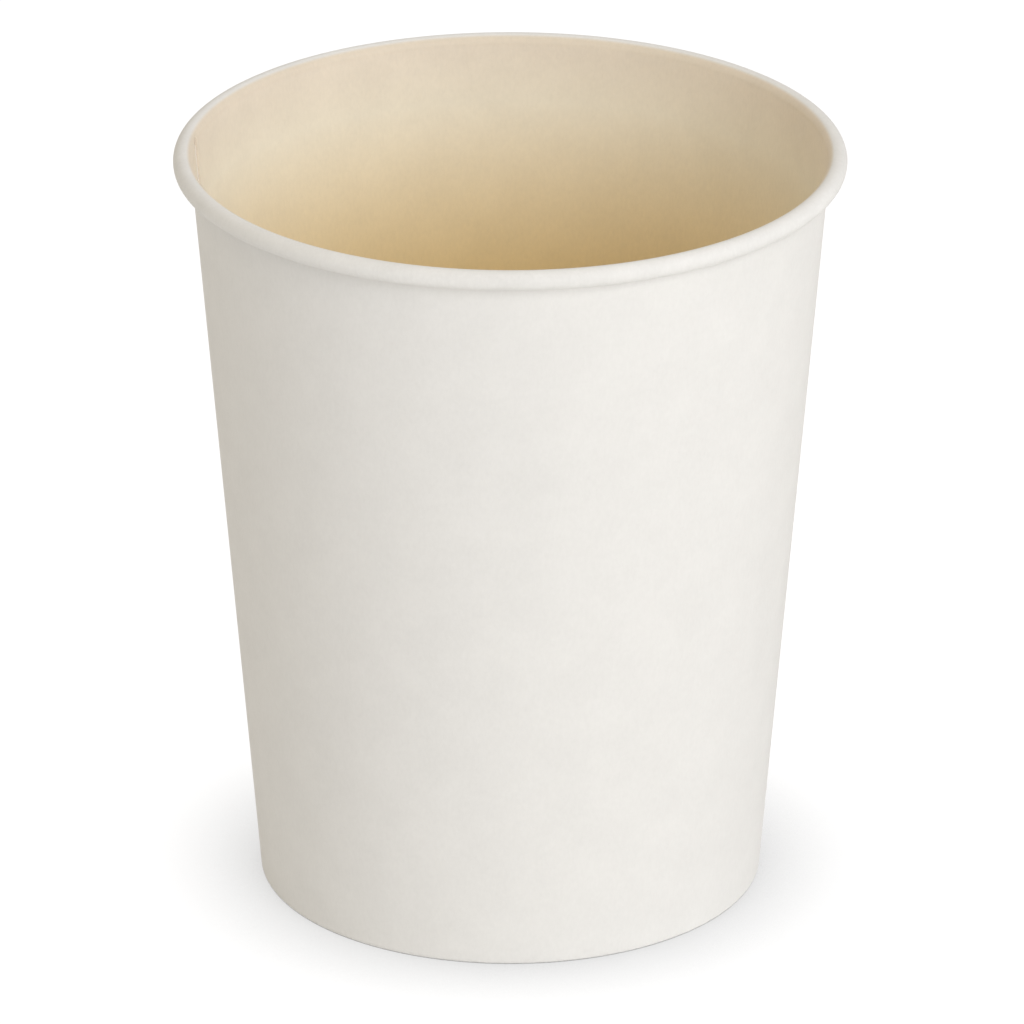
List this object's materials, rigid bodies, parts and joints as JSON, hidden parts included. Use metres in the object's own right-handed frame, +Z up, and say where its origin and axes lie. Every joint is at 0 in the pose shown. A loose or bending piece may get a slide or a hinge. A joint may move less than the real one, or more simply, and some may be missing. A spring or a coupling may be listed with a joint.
{
  "type": "paper food container",
  "caption": "Open tapered round paperboard food container with a rolled rim, a lapped side seam and a recessed bottom disc gripped in the folded foot.",
  "frame": {"origin": "centre of the base, on the surface that the container stands on", "axes": "+Z up along the container's axis; +X to the right and +Y to the back as the picture sees it; the side seam is 162 to 172 degrees round from +X towards +Y"},
  "size_m": [0.117, 0.117, 0.1355],
  "materials": {
    "white_board": "uncoated matte white paperboard outside, cream to tan lined board inside",
    "cream_board": "matte cream lined paperboard"
  },
  "bodies": {
    "root": {"sidewall": "white_board", "bottom_disc": "cream_board"}
  },
  "joints": []
}
